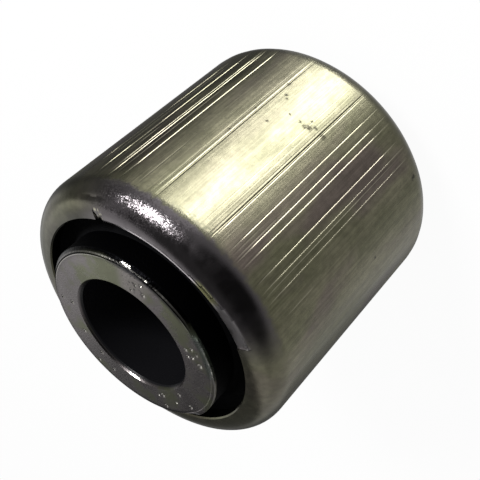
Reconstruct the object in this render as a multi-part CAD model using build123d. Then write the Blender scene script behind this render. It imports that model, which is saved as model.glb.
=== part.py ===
from build123d import *

import os

# Suspension bush for a heavy vehicle: a thick steel inner sleeve, a rubber body bonded to it,
# and a steel outer sleeve whose two ends are rolled inwards over the rubber.
# Z is the axis that all three share. The origin is at the centre of the bush.
# The radii are a stack: bore, inner wall, rubber, outer wall. Lengths are mirrored about Z = 0.
# All sizes are in millimetres and all angles in degrees.

# Inner sleeve: thick tube that one bolt clamps between two brackets
BORE_DIAMETER = 24.2
INNER_WALL = 6.9
INNER_LENGTH = 63.0
BORE_CHAMFER = 0.55
RIM_CHAMFER = 1.0

# Rubber body: fills the outer sleeve and leaves an open moulded groove at each end
RUBBER_THICKNESS = 7.0
GROOVE_DEPTH = 1.7
GROOVE_FLANK = 1.1  # width of each sloping side of the groove
RUBBER_CLIMB = 0.6  # how far the bonded edge stands above the edge under the lip

# Outer sleeve: drawn tube, pressed into the eye of the link or spring
OUTER_WALL = 2.5
END_STEP = 3.5  # how far each end of the inner sleeve stands out past the outer sleeve
ROLL_INNER_RADIUS = 2.8
LIP_LAND = 0.6  # flat ring between the rolled shoulder and the opening
LIP_ROUND = 0.25

# Score marks that pressing the outer sleeve leaves along it
SCORE_DEPTH = 0.14
SCORE_WIDTH = 0.5
SCORE_SETBACK = 0.4  # bare cylinder between a score mark and the rolled shoulder
SCORE_ANGLES = (-31, -36, -41, -45, -54, -60, -62, -85, -87, -93, -97, -100, -108, -112, -115)

# Nick in the lip at the upper end
NICK_ANGLE = -41
NICK_WIDTH = 2.2
NICK_REACH = 2.3
NICK_DEPTH = 0.5

# Radii and heights that follow from the stack
BORE_RADIUS = BORE_DIAMETER / 2
INNER_RADIUS = BORE_RADIUS + INNER_WALL
RUBBER_RADIUS = INNER_RADIUS + RUBBER_THICKNESS
OUTER_RADIUS = RUBBER_RADIUS + OUTER_WALL
LIP_RADIUS = RUBBER_RADIUS - ROLL_INNER_RADIUS - LIP_LAND
INNER_TOP = INNER_LENGTH / 2
LIP_TOP = INNER_TOP - END_STEP
LIP_UNDERSIDE = LIP_TOP - OUTER_WALL
SHOULDER_HEIGHT = LIP_UNDERSIDE - ROLL_INNER_RADIUS


def turned_about_z(half_profile):
    """Revolve the upper half of a profile about Z and mirror it to the lower half."""
    upper = revolve(Plane.XZ * half_profile, Axis.Z, 360)
    return upper + mirror(upper, about=Plane.XY)


def quarter_roll(radius):
    """Arc of the rolled end, from the straight wall round to the flat land."""
    centre = (RUBBER_RADIUS - ROLL_INNER_RADIUS, SHOULDER_HEIGHT)
    return CenterArc(centre, radius, 0, 90)


def inner_sleeve():
    """Thick tube with a small chamfer in each bore mouth and a larger one on each rim."""
    outline = Polyline(
        (BORE_RADIUS, 0),
        (INNER_RADIUS, 0),
        (INNER_RADIUS, INNER_TOP - RIM_CHAMFER),
        (INNER_RADIUS - RIM_CHAMFER, INNER_TOP),
        (BORE_RADIUS + BORE_CHAMFER, INNER_TOP),
        (BORE_RADIUS, INNER_TOP - BORE_CHAMFER),
        close=True,
    )
    return turned_about_z(make_face(outline))


def rubber_body():
    """Rubber moulded between the sleeves and locked under both rolled lips."""
    roll = quarter_roll(ROLL_INNER_RADIUS)
    outline = Polyline(
        roll @ 1,
        (LIP_RADIUS, LIP_UNDERSIDE),
        (LIP_RADIUS - GROOVE_FLANK, LIP_UNDERSIDE - GROOVE_DEPTH),
        (INNER_RADIUS + GROOVE_FLANK, LIP_UNDERSIDE - GROOVE_DEPTH),
        (INNER_RADIUS, LIP_UNDERSIDE + RUBBER_CLIMB),
        (INNER_RADIUS, 0),
        (RUBBER_RADIUS, 0),
        roll @ 0,
    )
    return turned_about_z(make_face([roll, outline]))


def rolled_sleeve():
    """Tube with both ends rolled inwards, seen from outside as a round shoulder and a flat lip."""
    outer_roll = quarter_roll(ROLL_INNER_RADIUS + OUTER_WALL)
    inner_roll = quarter_roll(ROLL_INNER_RADIUS)
    lip = Polyline(
        outer_roll @ 1,
        (LIP_RADIUS + LIP_ROUND, LIP_TOP),
        (LIP_RADIUS, LIP_TOP - LIP_ROUND),
        (LIP_RADIUS, LIP_UNDERSIDE),
        inner_roll @ 1,
    )
    wall = Polyline(inner_roll @ 0, (RUBBER_RADIUS, 0), (OUTER_RADIUS, 0), outer_roll @ 0)
    return turned_about_z(make_face([outer_roll, lip, inner_roll, wall]))


def score_marks():
    """V-shaped bars that lie along the sleeve and cut one score mark each."""
    section = make_face(
        Polyline(
            (OUTER_RADIUS - SCORE_DEPTH, 0),
            (OUTER_RADIUS + SCORE_DEPTH, SCORE_WIDTH),
            (OUTER_RADIUS + SCORE_DEPTH, -SCORE_WIDTH),
            close=True,
        )
    )
    half_length = SHOULDER_HEIGHT - SCORE_SETBACK
    bar = extrude(section, half_length, both=True)
    return [Rot(0, 0, angle) * bar for angle in SCORE_ANGLES]


def lip_nick():
    """Block that cuts the nick in the upper lip, from the opening outwards."""
    block = Box(2 * NICK_REACH, NICK_WIDTH, 2 * NICK_DEPTH)
    return Rot(0, 0, NICK_ANGLE) * Pos(LIP_RADIUS, 0, LIP_TOP) * block


def outer_sleeve():
    """Rolled sleeve with the marks of its pressing and handling."""
    return rolled_sleeve() - score_marks() - lip_nick()


os.makedirs("parts", exist_ok=True)
export_step(inner_sleeve(), "parts/inner_sleeve.step")
export_step(rubber_body(), "parts/rubber_body.step")
export_step(outer_sleeve(), "parts/outer_sleeve.step")
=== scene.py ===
import logging
import math
from contextlib import contextmanager
from dataclasses import dataclass, field
from enum import Enum
from typing import Any, Callable, Iterable, Iterator, Optional, Sequence

import bpy
from mathutils import Matrix, Vector, noise


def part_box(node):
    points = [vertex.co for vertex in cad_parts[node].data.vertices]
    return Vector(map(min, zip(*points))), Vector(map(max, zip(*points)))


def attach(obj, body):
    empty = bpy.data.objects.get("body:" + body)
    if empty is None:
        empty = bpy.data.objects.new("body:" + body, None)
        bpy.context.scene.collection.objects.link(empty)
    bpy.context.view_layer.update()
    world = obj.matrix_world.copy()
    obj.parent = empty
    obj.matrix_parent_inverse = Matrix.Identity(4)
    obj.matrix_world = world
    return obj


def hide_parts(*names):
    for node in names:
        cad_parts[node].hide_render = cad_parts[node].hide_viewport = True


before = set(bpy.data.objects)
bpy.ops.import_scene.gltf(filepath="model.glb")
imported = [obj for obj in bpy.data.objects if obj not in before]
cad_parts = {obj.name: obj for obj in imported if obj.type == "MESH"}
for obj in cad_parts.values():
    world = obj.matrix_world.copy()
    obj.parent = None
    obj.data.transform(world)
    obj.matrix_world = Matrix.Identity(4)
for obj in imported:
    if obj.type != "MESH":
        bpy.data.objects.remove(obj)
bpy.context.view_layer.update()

MM = 0.001
ROOT_BODY = "root"
HAIR = 0.01 * MM
WHITE = "#ffffff"
MERGED_BELOW = 0.002 * MM

logging.basicConfig(level=logging.INFO, format="%(levelname)s %(message)s")
log = logging.getLogger("bush")


# --- Mesh tools -------------------------------------------------------------------------------


class Push(Enum):
    """Direction in which a mark pushes the metal, under the name that the Displace modifier has for it."""

    INTO_SURFACE = "NORMAL"
    DOWN_THE_AXIS = "Z"


@dataclass(frozen=True)
class Corner:
    """One corner of a turned section, in metres.

    Args:
        radius: distance from the bush's axis.
        height: place along the bush's axis.
    """

    radius: float
    height: float

    def mirrored(self) -> "Corner":
        """Return the same corner at the other end of the bush."""
        return Corner(self.radius, -self.height)

    def moved(self, out: float, up: float) -> "Corner":
        """Return a corner some way out and up from this one."""
        return Corner(self.radius + out, self.height + up)


@dataclass(frozen=True)
class Spot:
    """One point of a mesh in the bush's own round coordinates.

    Args:
        angle: place round the axis in degrees from +X.
        radius: distance from the axis in metres.
        height: place along the axis in metres.
    """

    angle: float
    radius: float
    height: float

    @classmethod
    def at(cls, place: Vector) -> "Spot":
        """Work out the round coordinates of a place."""
        return cls(math.degrees(math.atan2(place.y, place.x)), math.hypot(place.x, place.y), place.z)

    def angle_to(self, angle: float) -> float:
        """Return the signed turn from the spot to an angle, between -180 and 180 degrees."""
        return (angle - self.angle + 180.0) % 360.0 - 180.0

    def unevenness(self, grain: float, seed: float) -> float:
        """Return soft noise from about -1 to 1 that changes over a distance in metres."""
        turn = math.radians(self.angle)
        place = Vector((self.radius * math.cos(turn), self.radius * math.sin(turn), self.height))
        return noise.noise(place / grain + Vector((seed, seed, seed)))


def deselect_all() -> None:
    """Deselect every object."""
    bpy.ops.object.select_all(action="DESELECT")


def make_active(piece: bpy.types.Object) -> None:
    """Select one object alone and make it the active one."""
    deselect_all()
    piece.select_set(True)
    bpy.context.view_layer.objects.active = piece


@contextmanager
def edit_mode(piece: bpy.types.Object) -> Iterator[None]:
    """Open a piece in edit mode with all of it selected, and close it again at the end of the block."""
    make_active(piece)
    bpy.ops.object.mode_set(mode="EDIT")
    bpy.ops.mesh.select_all(action="SELECT")
    try:
        yield
    finally:
        bpy.ops.object.mode_set(mode="OBJECT")


def arc_corners(centre: Corner, radius: float, start: float, stop: float, steps: int) -> list[Corner]:
    """Divide an arc of a section into corners.

    Args:
        centre: centre of the arc in the section.
        radius: radius of the arc.
        start: angle of the first corner in degrees, from the outward direction towards the upper end.
        stop: angle of the last corner in degrees.
        steps: number of equal parts.

    Returns:
        The corners from start to stop, both included.
    """
    corners = []
    for step in range(steps + 1):
        angle = math.radians(start + (stop - start) * step / steps)
        corners.append(centre.moved(radius * math.cos(angle), radius * math.sin(angle)))
    return corners


def straight_corners(start: Corner, stop: Corner, steps: int) -> list[Corner]:
    """Divide a straight stretch of a section into equal parts, without its two ends."""
    out, up = stop.radius - start.radius, stop.height - start.height
    return [start.moved(out * step / steps, up * step / steps) for step in range(1, steps)]


def turned_ring(name: str, section: Sequence[Corner], segments: int) -> bpy.types.Object:
    """Model a closed ring by extruding a circle from corner to corner round its section.

    Args:
        name: name of the new object.
        section: corners of the closed section, in order.
        segments: number of straight parts round the axis.

    Returns:
        The ring, with its origin on the bush's own origin.
    """
    deselect_all()
    bpy.ops.mesh.primitive_circle_add(vertices=segments, radius=section[0].radius, fill_type="NOTHING")
    ring = bpy.context.object
    ring.name = name
    ring.data.name = name
    with edit_mode(ring):
        bpy.ops.transform.translate(value=(0, 0, section[0].height))
        for here, there in zip(section, [*section[1:], section[0]]):
            rise, growth = there.height - here.height, there.radius / here.radius
            bpy.ops.mesh.extrude_region_move(TRANSFORM_OT_translate={"value": (0, 0, rise)})
            bpy.ops.transform.resize(value=(growth, growth, 1), center_override=(0, 0, there.height))
        bpy.ops.mesh.select_all(action="SELECT")
        bpy.ops.mesh.remove_doubles(threshold=MERGED_BELOW)
        bpy.ops.mesh.normals_make_consistent(inside=False)
    return ring


def push_points(piece: bpy.types.Object, way: Push, depth_at: Callable[[Spot], float]) -> None:
    """Push the points of a piece in, or out where the depth is negative.

    Args:
        piece: object whose mesh is pushed.
        way: direction of the push.
        depth_at: depth in metres at a spot of the mesh.
    """
    depths = [depth_at(Spot.at(vert.co)) for vert in piece.data.vertices]
    for sign in (1, -1):
        chosen = {index: sign * depth for index, depth in enumerate(depths) if sign * depth > 0}
        if not chosen:
            continue
        deepest = max(chosen.values())
        group = piece.vertex_groups.new(name="pushed")
        for index, depth in chosen.items():
            group.add([index], depth / deepest, "REPLACE")
        make_active(piece)
        bpy.ops.object.modifier_add(type="DISPLACE")
        displace = piece.modifiers[-1]
        displace.direction = way.value
        displace.vertex_group = group.name
        displace.mid_level = 0.0
        displace.strength = -sign * deepest
        bpy.ops.object.modifier_apply(modifier=displace.name)
        piece.vertex_groups.clear()


def paint_points(piece: bpy.types.Object, name: str, amount_at: Callable[[Spot], float]) -> None:
    """Store an amount from 0 to 1 on every point of a piece, for its material to read."""
    amounts = [min(max(amount_at(Spot.at(vert.co)), 0.0), 1.0) for vert in piece.data.vertices]
    piece.data.attributes.new(name, "FLOAT", "POINT").data.foreach_set("value", amounts)


def smooth_by_angle(piece: bpy.types.Object, degrees: float) -> None:
    """Shade a piece smooth, apart from edges sharper than an angle."""
    make_active(piece)
    bpy.ops.object.shade_smooth_by_angle(angle=math.radians(degrees))


def fasten(piece: bpy.types.Object, node: str, material: bpy.types.Material) -> None:
    """Let a piece stand for its solid, ride on the bush and wear its material.

    Args:
        piece: finished object.
        node: solid of the frame that the piece replaces.
        material: finish of the whole piece.
    """
    piece.data.materials.clear()
    piece.data.materials.append(material)
    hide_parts(node)
    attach(piece, ROOT_BODY)
    log.info("%s: %d faces", piece.name, len(piece.data.polygons))


# --- Material tools ---------------------------------------------------------------------------


def linear(colour: str) -> tuple[float, float, float, float]:
    """Turn an sRGB hex colour into linear red, green, blue and alpha."""
    channels = [int(colour[at:at + 2], 16) / 255 for at in (1, 3, 5)]
    bent = [c / 12.92 if c <= 0.04045 else ((c + 0.055) / 1.055) ** 2.4 for c in channels]
    return (bent[0], bent[1], bent[2], 1.0)


def around(angle: float, elevation: float = 0.0) -> Vector:
    """Return the direction at an angle round the axis and an elevation above the middle plane, in degrees."""
    turn, rise = math.radians(angle), math.radians(elevation)
    return Vector((math.cos(turn) * math.cos(rise), math.sin(turn) * math.cos(rise), math.sin(rise)))


def add_node(
    tree: bpy.types.NodeTree, kind: str, inputs: Optional[dict[Any, Any]] = None, **settings: Any
) -> bpy.types.Node:
    """Add one node, set it and link it.

    Args:
        tree: node tree that gets the node.
        kind: Blender's name for the kind of node.
        inputs: values, amounts or output sockets, by the name or number of the input that takes them.
        **settings: the node's own settings.

    Returns:
        The new node.
    """
    node = tree.nodes.new(kind)
    for name, value in settings.items():
        setattr(node, name, value)
    for key, value in (inputs or {}).items():
        source = value.socket if isinstance(value, Amount) else value
        if isinstance(source, bpy.types.NodeSocket):
            tree.links.new(source, node.inputs[key])
        else:
            node.inputs[key].default_value = source
    return node


def new_material(name: str) -> tuple[bpy.types.Material, bpy.types.NodeTree]:
    """Make a material that has no nodes yet, and return it with its node tree."""
    material = bpy.data.materials.new(name)
    material.use_nodes = True
    material.node_tree.nodes.clear()
    return material, material.node_tree


@dataclass(frozen=True)
class Amount:
    """One number of a node tree, which is added, subtracted and multiplied as plain numbers are.

    Args:
        tree: node tree that works the number out.
        socket: output socket that gives it.
    """

    tree: bpy.types.NodeTree
    socket: bpy.types.NodeSocket

    def joined(self, operation: str, *others: Any, clamp: bool = False) -> "Amount":
        """Work out one sum of this number and others."""
        inputs = dict(enumerate([self, *others]))
        node = add_node(self.tree, "ShaderNodeMath", inputs, operation=operation, use_clamp=clamp)
        return Amount(self.tree, node.outputs[0])

    def __add__(self, other: Any) -> "Amount":
        """Return the sum."""
        return self.joined("ADD", other)

    def __sub__(self, other: Any) -> "Amount":
        """Return this number less another."""
        return self.joined("SUBTRACT", other)

    def __rsub__(self, other: float) -> "Amount":
        """Return a plain number less this one."""
        return self.joined("MULTIPLY_ADD", -1.0, other)

    def __mul__(self, other: Any) -> "Amount":
        """Return the product."""
        return self.joined("MULTIPLY", other)

    def __truediv__(self, other: Any) -> "Amount":
        """Return this number divided by another."""
        return self.joined("DIVIDE", other)

    def __abs__(self) -> "Amount":
        """Return the number without its sign."""
        return self.joined("ABSOLUTE")

    def highest(self, other: Any) -> "Amount":
        """Return the larger one of two numbers."""
        return self.joined("MAXIMUM", other)

    def without(self, other: Any) -> "Amount":
        """Return this number less another, kept between 0 and 1."""
        return self.joined("SUBTRACT", other, clamp=True)

    def ramp(self, low: float, high: float, bottom: float = 0.0, top: float = 1.0) -> "Amount":
        """Turn a number between low and high softly into one between bottom and top."""
        inputs = {0: self, 1: low, 2: high, 3: bottom, 4: top}
        node = add_node(self.tree, "ShaderNodeMapRange", inputs, interpolation_type="SMOOTHSTEP")
        return Amount(self.tree, node.outputs[0])

    def shaped(self, pattern: "Pattern") -> "Amount":
        """Turn raw noise into the range of its pattern."""
        return self.ramp(pattern.low, pattern.high, pattern.bottom, pattern.top)


@dataclass(frozen=True)
class Pattern:
    """Soft noise over a surface.

    Args:
        grain: size of one patch across the surface, in millimetres.
        stretch: how many times longer a patch is along the axis.
        detail: octaves of finer noise.
        shift: offset in millimetres that sets one pattern apart from another.
        low: raw noise that gives the bottom value.
        high: raw noise that gives the top value.
        bottom: value of the pattern's valleys.
        top: value of its peaks.
    """

    grain: float
    stretch: float = 1.0
    detail: float = 2.0
    shift: float = 0.0
    low: float = 0.3
    high: float = 0.7
    bottom: float = 0.0
    top: float = 1.0


@dataclass(frozen=True)
class Sector:
    """Part of a turned surface round one angle.

    Args:
        angle: middle of the sector round the axis, in degrees.
        half_width: half of its width in degrees.
        fade: width of its soft borders in degrees.
        outside: value outside the sector.
        inside: value inside it.
    """

    angle: float
    half_width: float
    fade: float
    outside: float = 0.0
    inside: float = 1.0


@dataclass(frozen=True)
class Ring:
    """Thin ring of a turned surface, in millimetres.

    Args:
        radius: distance of its middle from the axis.
        half_width: half of its width.
    """

    radius: float
    half_width: float


@dataclass(frozen=True)
class Patch:
    """Small round place on a turned surface.

    Args:
        angle: place round the axis in degrees.
        height: place along the axis in millimetres.
        size: radius of the patch in millimetres.
        radius: distance from the axis in millimetres.
    """

    angle: float
    height: float
    size: float
    radius: float = 28.5


@dataclass(frozen=True)
class Trace:
    """Wear, film, grime, or painted light or shade, that changes the colour in one sector.

    Args:
        colour: colour of the trace.
        sector: where it lies round the axis and how strong it is there.
        ring: ring that it keeps to.
        fades: distances from the axis in millimetres between which it fades outwards.
        above: height in millimetres that it starts at.
    """

    colour: str
    sector: Sector
    ring: Optional[Ring] = None
    fades: Optional[tuple[float, float]] = None
    above: Optional[float] = None

    BORDER = 0.1


@dataclass(frozen=True)
class SurfaceMap:
    """Places and patterns on a turned surface, ready to link in one node tree.

    Args:
        tree: node tree that holds the nodes.
        place: place on the piece in millimetres.
        height: height along the axis in millimetres.
        radius: distance from the axis in millimetres.
    """

    tree: bpy.types.NodeTree
    place: bpy.types.NodeSocket
    height: Amount
    radius: Amount

    NOISE_ROUGHNESS = 0.55
    SOFTNESS = 0.4

    @classmethod
    def on(cls, tree: bpy.types.NodeTree) -> "SurfaceMap":
        """Add the nodes that read a piece's own coordinates in millimetres."""
        own = add_node(tree, "ShaderNodeTexCoord").outputs["Object"]
        inputs = {0: own, "Scale": 1 / MM}
        place = add_node(tree, "ShaderNodeVectorMath", inputs, operation="SCALE").outputs[0]
        split = add_node(tree, "ShaderNodeSeparateXYZ", {0: place}).outputs
        flat = add_node(tree, "ShaderNodeCombineXYZ", {0: split[0], 1: split[1]}).outputs[0]
        radius = add_node(tree, "ShaderNodeVectorMath", {0: flat}, operation="LENGTH").outputs["Value"]
        return cls(tree, place, Amount(tree, split[2]), Amount(tree, radius))

    def measured(self, operation: str, other: Vector) -> Amount:
        """Measure the place on the piece against a direction or another place, in millimetres."""
        inputs = {0: self.place, 1: other}
        node = add_node(self.tree, "ShaderNodeVectorMath", inputs, operation=operation)
        return Amount(self.tree, node.outputs["Value"])

    def painted(self, name: str) -> Amount:
        """Read an amount that is stored on the piece's points."""
        stored = add_node(self.tree, "ShaderNodeAttribute", attribute_name=name)
        return Amount(self.tree, stored.outputs["Fac"])

    def noise(self, pattern: Pattern) -> Amount:
        """Make a pattern's raw noise, from about 0.25 to 0.75."""
        inputs = {"Vector": self.place, "Location": [pattern.shift] * 3, "Scale": (1, 1, 1 / pattern.stretch)}
        moved = add_node(self.tree, "ShaderNodeMapping", inputs).outputs[0]
        inputs = {"Vector": moved, "Scale": 1 / pattern.grain, "Detail": pattern.detail}
        inputs["Roughness"] = self.NOISE_ROUGHNESS
        return Amount(self.tree, add_node(self.tree, "ShaderNodeTexNoise", inputs).outputs[0])

    def pattern(self, pattern: Pattern) -> Amount:
        """Make a pattern in its own range."""
        return self.noise(pattern).shaped(pattern)

    def sector(self, sector: Sector) -> Amount:
        """Return one value outside a sector and another inside it."""
        cosine = self.measured("DOT_PRODUCT", around(sector.angle)) / self.radius
        outer = math.cos(math.radians(sector.half_width + sector.fade / 2))
        inner = math.cos(math.radians(sector.half_width - sector.fade / 2))
        return cosine.ramp(outer, inner, sector.outside, sector.inside)

    def ring(self, ring: Ring) -> Amount:
        """Return 1 on a ring and 0 away from it."""
        near, far = ring.half_width * (1 - self.SOFTNESS), ring.half_width * (1 + self.SOFTNESS)
        return abs(self.radius - ring.radius).ramp(near, far, 1.0, 0.0)

    def patch(self, patch: Patch, ragged: Amount) -> Amount:
        """Return 1 on a patch and 0 away from it, with a border that noise makes uneven."""
        middle = around(patch.angle) * patch.radius + Vector((0, 0, patch.height))
        gap = self.measured("DISTANCE", middle) + ragged * patch.size
        return gap.ramp(patch.size, patch.size * 2, 1.0, 0.0)

    def trace(self, trace: Trace) -> Amount:
        """Return how strong a trace is."""
        share = self.sector(trace.sector)
        if trace.ring:
            share = share * self.ring(trace.ring)
        if trace.fades:
            share = share * self.radius.ramp(*trace.fades, 1.0, 0.0)
        if trace.above is not None:
            share = share * self.height.ramp(trace.above, trace.above + trace.BORDER)
        return share

    def specks(self, spacing: float, size: float) -> Amount:
        """Scatter small round specks.

        Args:
            spacing: usual distance between neighbours in millimetres.
            size: radius of the largest speck in millimetres.

        Returns:
            1 inside a speck and 0 outside.
        """
        cells = add_node(self.tree, "ShaderNodeTexVoronoi", {"Vector": self.place, "Scale": 1 / spacing})
        gap, reach = Amount(self.tree, cells.outputs["Distance"]), size / spacing
        return gap.ramp(reach * (1 - self.SOFTNESS), reach, 1.0, 0.0)

    def facets(self, size: float, tilt: Amount) -> bpy.types.NodeSocket:
        """Tilt the surface in small flat facets, as a rough tool leaves them.

        Args:
            size: width of one facet in millimetres.
            tilt: largest difference in slope between two facets.

        Returns:
            The tilted normal.
        """
        cells = add_node(self.tree, "ShaderNodeTexVoronoi", {"Vector": self.place, "Scale": 1 / size})
        normal = add_node(self.tree, "ShaderNodeNewGeometry").outputs["Normal"]
        slope = cells.outputs["Color"]
        centred, scaled = ("SUBTRACT", {1: (0.5, 0.5, 0.5)}), ("SCALE", {"Scale": tilt})
        for operation, inputs in (centred, scaled, ("ADD", {1: normal}), ("NORMALIZE", {})):
            node = add_node(self.tree, "ShaderNodeVectorMath", {0: slope, **inputs}, operation=operation)
            slope = node.outputs[0]
        return slope

    def blend(self, share: Any, first: Any, second: Any, mode: str = "MIX") -> bpy.types.NodeSocket:
        """Blend two colours.

        Args:
            share: part of the second colour, from 0 to 1.
            first: hex colour or socket.
            second: hex colour, amount or socket.
            mode: way of blending.

        Returns:
            The blended colour.
        """
        first, second = [linear(colour) if isinstance(colour, str) else colour for colour in (first, second)]
        inputs = {0: share, 6: first, 7: second}
        return add_node(self.tree, "ShaderNodeMix", inputs, data_type="RGBA", blend_type=mode).outputs[2]

    def traced(self, tint: bpy.types.NodeSocket, traces: Sequence[Trace]) -> bpy.types.NodeSocket:
        """Blend traces over a colour, one after the other."""
        for trace in traces:
            tint = self.blend(self.trace(trace), tint, trace.colour)
        return tint

    def bump(self, height: Any, depth: float, under: Any = None) -> bpy.types.NodeSocket:
        """Turn a height pattern into a bump.

        Args:
            height: pattern from 0 to 1.
            depth: difference in height between 0 and 1, in millimetres.
            under: normal of the bump below this one.

        Returns:
            The bent normal.
        """
        inputs = {"Height": height, "Distance": depth * MM}
        if under is not None:
            inputs["Normal"] = under
        return add_node(self.tree, "ShaderNodeBump", inputs).outputs[0]

    def finish(self, inputs: dict[str, Any]) -> None:
        """Link a shader with the given inputs to the material's output."""
        shader = add_node(self.tree, "ShaderNodeBsdfPrincipled", inputs)
        add_node(self.tree, "ShaderNodeOutputMaterial", {0: shader.outputs[0]})


# --- Finishes ---------------------------------------------------------------------------------


@dataclass(frozen=True)
class PassivatedZinc:
    """Zinc plate on drawn steel, dipped in a yellow passivation bath and then rubbed by a press tool.

    The bath leaves a thin uneven film, so that one grey metal goes from straw through olive to mauve. The
    drawn tube below shows as fine lines along it, and the rolled shoulders keep the coarse grain of the
    rolling tool, which also rubbed the film off a sector of them.

    Args:
        straw: colour of the thin film.
        olive: colour of the thicker film.
        mauve: colour where the film turns purple.
        mossy: colour of the thick greenish film on the shoulders.
        rubbed: colour of the shoulder where the film is rubbed off.
        bare: colour of zinc that a score mark has laid open.
        burnished: colour of the lip where the rolling tool has flattened it.
        painted_lip_highlight: colour of the painted highlight along the upper lip's edge.
        brassy: colour of the thick film left on one stretch of the flat lip.
        stain_and_shade: colour of dark stains, of grime in marks, and of painted shade in the nick, crease
            and lip.
        shoulder_height: height in millimetres where the rolled shoulders start.
        film: how the thin and the thicker film share the surface.
        drift: how the purple film spreads.
        mottle: small changes in the film's brightness.
        streaks: fine streaks that the drawing die leaves along the wall.
        pitting: small mossy spots, which pit_areas gathers in some places.
        specks: how the mossy border of the rubbed sector breaks up.
        gloss: roughness of the plate.
        darkened_lip: the lip darkened towards its edge, and painted shade that dims a lamp's reflection by
            it.
        highlit_lip: a painted highlight along the upper lip's edge first, then the brassy film on the flat
            lip.
        stains: dark stains on the wall.
    """

    straw: str = "#787561"
    olive: str = "#6a6954"
    mauve: str = "#6b625b"
    mossy: str = "#605f4f"
    rubbed: str = "#5b5759"
    bare: str = "#bdb8a2"
    burnished: str = "#938f90"
    painted_lip_highlight: str = "#f0ebed"
    brassy: str = "#93926c"
    stain_and_shade: str = "#17150f"
    shoulder_height: float = 22.7
    film: Pattern = Pattern(8.0, stretch=2.2, detail=3.0, low=0.38, high=0.62)
    drift: Pattern = Pattern(11.0, stretch=2.5, detail=3.0, shift=31.0, low=0.47, high=0.66)
    mottle: Pattern = Pattern(1.1, stretch=1.6, detail=5.0, shift=44.0, bottom=0.85, top=1.1)
    streaks: Pattern = Pattern(
        0.45, stretch=60.0, detail=3.0, shift=7.0, low=0.35, high=0.65, bottom=0.86, top=1.1
    )
    pit_areas: Pattern = Pattern(6.0, shift=61.0)
    pitting: Pattern = Pattern(0.5, detail=4.0, shift=27.0, low=0.92, high=1.0, top=0.5)
    specks: Pattern = Pattern(0.5, detail=3.0, shift=9.0, low=0.4, high=0.56)
    gloss: Pattern = Pattern(2.5, stretch=6.0, shift=3.0, bottom=0.23, top=0.34)
    # The lip darkened towards its edge, then painted shade over a lamp's reflection beside it.
    darkened_lip: tuple[Trace, ...] = (
        Trace(stain_and_shade, Sector(-4.0, 44.0, 24.0, inside=0.75), fades=(22.6, 26.4)),
        Trace(stain_and_shade, Sector(-31.0, 11.0, 10.0, inside=0.6), fades=(23.6, 25.4)),
    )
    # A painted highlight along the lip's edge, then the brassy film on the flat lip.
    highlit_lip: tuple[Trace, ...] = (
        Trace(painted_lip_highlight, Sector(-80.0, 24.0, 12.0), ring=Ring(22.9, 0.34), above=27.3),
        Trace(brassy, Sector(-99.0, 5.0, 5.0), ring=Ring(23.4, 0.9), above=27.6),
    )
    stains: tuple[Patch, ...] = (
        Patch(-72.3, -7.9, 0.45),
        Patch(-77.0, -7.8, 0.5),
        Patch(-79.4, -7.6, 0.85),
        Patch(-80.9, -8.0, 1.15),
        Patch(-80.0, -9.6, 0.4),
        Patch(-82.6, -8.9, 0.7),
        Patch(-86.7, -8.6, 0.95),
        Patch(-67.0, -10.8, 0.61),
        Patch(-65.6, -11.6, 0.54),
        Patch(-68.5, -3.5, 0.54),
        Patch(-62.7, -14.5, 0.68),
        Patch(-60.9, 2.5, 0.47),
        Patch(-61.2, -5.0, 0.47),
        Patch(-123.0, -22.3, 1.01),
        Patch(-137.0, -5.5, 0.47),
        Patch(-153.0, 26.8, 0.54, radius=27.6),
    )

    # Angles are in degrees, and sizes, heights and depths in millimetres.
    SHOULDER_BORDER = (-0.5, 1.5)
    MAUVE = Sector(-101.0, 12.0, 16.0, inside=0.07)
    STRAW = Sector(-70.0, 20.0, 14.0, 1.0, 0.2)
    MOSS_SHARE = 0.6
    # Painted shade that dims the highlight band on the wall, and painted light beside it on the upper wall.
    HIGHLIGHT_SHADE = Sector(-68.0, 4.0, 5.0, 1.0, 0.87)
    PAINTED_LIGHT = Sector(-95.0, 8.0, 8.0, inside=0.22)
    PAINTED_LIGHT_FADE = (-6.0, 6.0)
    PIT_AREA_SHARE = 0.6
    RUBBED = Sector(-82.0, 44.0, 26.0)
    RUBBED_START = 1.7
    RUBBED_FADE = (-0.3, 0.9)
    RUBBED_EDGE = Pattern(1.6, detail=4.0, shift=20.0)
    RAGGEDNESS = 2.4
    BORDER = Sector(-78.0, 10.0, 10.0)
    BORDER_RISE = (-1.4, -0.7)
    BORDER_FALL = (0.1, 0.8)
    FRAYED = Pattern(0.45, stretch=0.5, detail=4.0, shift=5.0)
    FRAYING = 2.0
    BARE_SHARE = 0.7
    DIRT_AND_SHADE_SHARE = 0.9
    # A die leaves lines about 0.1 mm apart, too fine to show, so they are drawn four times as coarse.
    DRAWN_LINES = Pattern(0.4, stretch=80.0, detail=3.0)
    DRAWN_DEPTH = 0.02
    # The grain of the plate is finer than 0.1 mm and is drawn coarse enough to show.
    GRAIN = Pattern(0.27, shift=12.0)
    GRAIN_DEPTH = 0.008
    WORKED = Sector(-60.0, 18.0, 16.0)
    WORKED_FROM = (24.3, 25.8)
    FACET_SIZE = 0.19
    FACET_TILT = (0.01, 0.17)
    ROLLED_GLOSS = 0.08
    LAND_ROUGHNESS = 0.12
    HIGHLIT_LIP_ROUGHNESS = 0.45
    PLAIN_BELOW = 0.5

    def rolled(self, on: SurfaceMap) -> Amount:
        """Return 1 on the rolled shoulders and 0 on the straight wall."""
        below, above = self.SHOULDER_BORDER
        return abs(on.height).ramp(self.shoulder_height + below, self.shoulder_height + above)

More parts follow.
